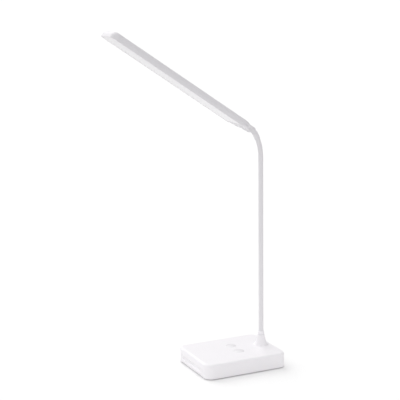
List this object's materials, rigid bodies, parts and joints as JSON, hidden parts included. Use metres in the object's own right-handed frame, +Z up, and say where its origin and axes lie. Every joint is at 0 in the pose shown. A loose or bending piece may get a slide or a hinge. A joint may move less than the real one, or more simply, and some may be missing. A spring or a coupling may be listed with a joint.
{
  "type": "desk lamp with drawer base",
  "caption": "Rechargeable white desk lamp: low rounded base with a shallow pull-out drawer and push keys, a thin bent neck that swivels, and a slim flat head that tilts.",
  "frame": {"origin": "on the table, under the middle of the base", "axes": "+Z up; -Y to the front, where the drawer opens and over which the head reaches; +X to the right as seen from the front"},
  "size_m": [0.099, 0.2427, 0.4814],
  "materials": {
    "white_shell": "fine satin moulded plastic",
    "white_inner": "plain moulded plastic",
    "white_key": "fine satin moulded plastic",
    "white_enamel": "satin powder coat",
    "pad_rubber": "matt silicone",
    "zinc_steel": "zinc-plated",
    "weight_steel": "rolled, lightly oiled",
    "cell_foil": "satin foil pouch",
    "board_green": "solder mask over fibreglass",
    "strip_white": "white solder mask",
    "black_plastic": "moulded",
    "cable_jacket": "smooth cable jacket",
    "lead_red": "smooth lead",
    "led_yellow": "phosphor over white package",
    "reflector_white": "gloss sheet",
    "diffuser_milk": "milky, fine frosted"
  },
  "bodies": {
    "base": {"base_shell": "white_shell", "base_cover": "white_inner", "base_pad": "pad_rubber", "counterweight": "weight_steel", "lithium_cell": "cell_foil", "control_board": "board_green", "charging_socket": "zinc_steel", "key_switches": "black_plastic", "board_screws": "zinc_steel", "cover_screws": "zinc_steel", "base_cable": "cable_jacket", "cell_leads": "lead_red"},
    "power_key": {"power_key": "white_key"},
    "mode_key": {"mode_key": "white_key"},
    "drawer": {"drawer_tray": "white_inner", "drawer_front": "white_shell"},
    "neck": {"neck_tube": "white_enamel", "neck_collar": "white_shell", "neck_spigot": "zinc_steel", "stop_washer": "zinc_steel", "wave_washer": "zinc_steel", "neck_nut": "zinc_steel", "neck_cable": "cable_jacket", "neck_knuckle": "white_enamel"},
    "head": {"head_shell": "white_shell", "led_strip": "strip_white", "led_chips": "led_yellow", "reflector": "reflector_white", "diffuser": "diffuser_milk", "head_cable": "cable_jacket", "tail_cover": "white_shell", "tail_screws": "zinc_steel", "hinge_screw": "zinc_steel", "hinge_nut": "zinc_steel", "friction_washers": "zinc_steel", "hinge_caps": "white_shell"}
  },
  "joints": [
    {"name": "power_key_press", "type": "slide", "parent": "base", "child": "power_key", "axis": [0, 0, -1], "range_m": [0, 0.0004], "stiffness_N_per_m": 1500},
    {"name": "mode_key_press", "type": "slide", "parent": "base", "child": "mode_key", "axis": [0, 0, -1], "range_m": [0, 0.0004], "stiffness_N_per_m": 1500},
    {"name": "drawer_slide", "type": "slide", "parent": "base", "child": "drawer", "axis": [0, -1, 0], "range_m": [0, 0.042]},
    {"name": "neck_swivel", "type": "hinge", "parent": "base", "child": "neck", "pos_m": [0, 0.0478, 0.0376], "axis": [0, 0, 1], "range_deg": [-90, 90]},
    {"name": "head_tilt", "type": "hinge", "parent": "neck", "child": "head", "pos_m": [0, 0.03189, 0.33881], "axis": [1, 0, 0], "range_deg": [-30, 92]}
  ]
}
